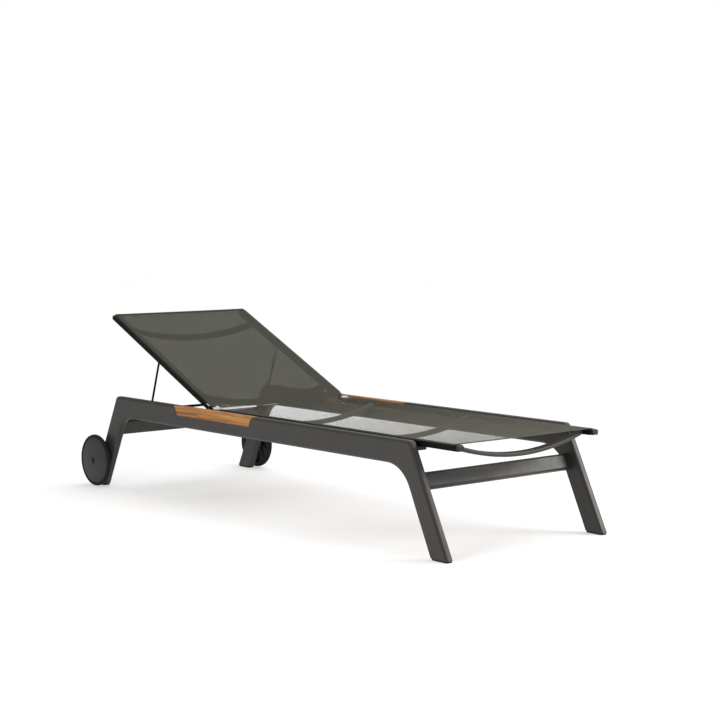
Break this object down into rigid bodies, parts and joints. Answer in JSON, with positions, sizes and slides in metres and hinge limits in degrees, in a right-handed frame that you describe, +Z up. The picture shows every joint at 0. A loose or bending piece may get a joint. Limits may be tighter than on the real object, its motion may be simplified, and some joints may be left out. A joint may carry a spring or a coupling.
{
  "type": "reclining sun lounger",
  "caption": "Low sun lounger: sling seat and reclining sling back between leaning-leg side frames with wood inlays, prop stay behind the back, wheels at the head end.",
  "frame": {"origin": "centre of the footprint on the floor, midway between the head and foot ends and between the two sides", "axes": "+X along the lounger towards the foot end, +Y to the left of a person lying on it face up, +Z up"},
  "size_m": [2.0226, 0.8032, 0.6531],
  "materials": {
    "powder_coat": "satin anthracite powder coat over aluminium",
    "teak": "oiled teak, grain along the beam",
    "dark_plastic": "moulded black plastic",
    "stainless": "stainless steel",
    "seat_mesh": "open PVC-coated polyester mesh, grey",
    "back_mesh": "open PVC-coated polyester mesh, grey",
    "tyre_rubber": "black rubber",
    "wheel_plastic": "dark grey moulded plastic",
    "stay_coat": "dark powder coat over steel rod"
  },
  "bodies": {
    "frame": {"stretcher_front": "powder_coat", "stretcher_rear": "powder_coat", "seat_bar_1": "powder_coat", "seat_bar_2": "powder_coat", "seat_bar_3": "powder_coat", "seat_sling": "seat_mesh", "side_frame_r": "powder_coat", "teak_inlay_r": "teak", "glide_front_r": "dark_plastic", "glide_rear_r": "dark_plastic", "seat_rail_r": "powder_coat", "seat_rail_cap_r": "dark_plastic", "rail_ledge_front_r": "dark_plastic", "rail_ledge_middle_r": "dark_plastic", "hinge_bracket_r": "powder_coat", "back_ledge_r": "dark_plastic", "hinge_fork_r": "stainless", "hinge_pin_r": "stainless", "ratchet_rack_r": "stainless", "axle_bolt_r": "dark_plastic", "side_frame_l": "powder_coat", "teak_inlay_l": "teak", "glide_front_l": "dark_plastic", "glide_rear_l": "dark_plastic", "seat_rail_l": "powder_coat", "seat_rail_cap_l": "dark_plastic", "rail_ledge_front_l": "dark_plastic", "rail_ledge_middle_l": "dark_plastic", "hinge_bracket_l": "powder_coat", "back_ledge_l": "dark_plastic", "hinge_fork_l": "stainless", "hinge_pin_l": "stainless", "ratchet_rack_l": "stainless", "axle_bolt_l": "dark_plastic"},
    "backrest": {"back_bar_1": "powder_coat", "back_bar_2": "powder_coat", "back_sling": "back_mesh", "back_rail_r": "powder_coat", "back_rail_cap_r": "dark_plastic", "hinge_tongue_r": "stainless", "stay_bolt_r": "stainless", "back_rail_l": "powder_coat", "back_rail_cap_l": "dark_plastic", "hinge_tongue_l": "stainless", "stay_bolt_l": "stainless"},
    "stay": {"stay_crossbar": "stay_coat", "stay_arm_r": "stay_coat", "stay_arm_l": "stay_coat"},
    "wheel_right": {"wheel_tyre_r": "tyre_rubber", "wheel_disc_r": "wheel_plastic"},
    "wheel_left": {"wheel_tyre_l": "tyre_rubber", "wheel_disc_l": "wheel_plastic"}
  },
  "joints": [
    {"name": "back_recline", "type": "hinge", "parent": "frame", "child": "backrest", "pos_m": [-0.25225, 0, 0.338], "axis": [0, 1, 0], "range_deg": [-25.2, 4]},
    {"name": "stay_swing", "type": "hinge", "parent": "backrest", "child": "stay", "pos_m": [-0.63398, 0, 0.51321], "axis": [0, 1, 0], "range_deg": [-14.82, 90.71]},
    {"name": "wheel_right_spin", "type": "hinge", "parent": "frame", "child": "wheel_right", "pos_m": [-0.91525, -0.382, 0.0985], "axis": [0, 1, 0], "continuous": true},
    {"name": "wheel_left_spin", "type": "hinge", "parent": "frame", "child": "wheel_left", "pos_m": [-0.91525, 0.382, 0.0985], "axis": [0, 1, 0], "continuous": true}
  ],
  "couplings": [
    {"joint": "stay_swing", "follows": "back_recline", "ratio": -3.5797}
  ]
}
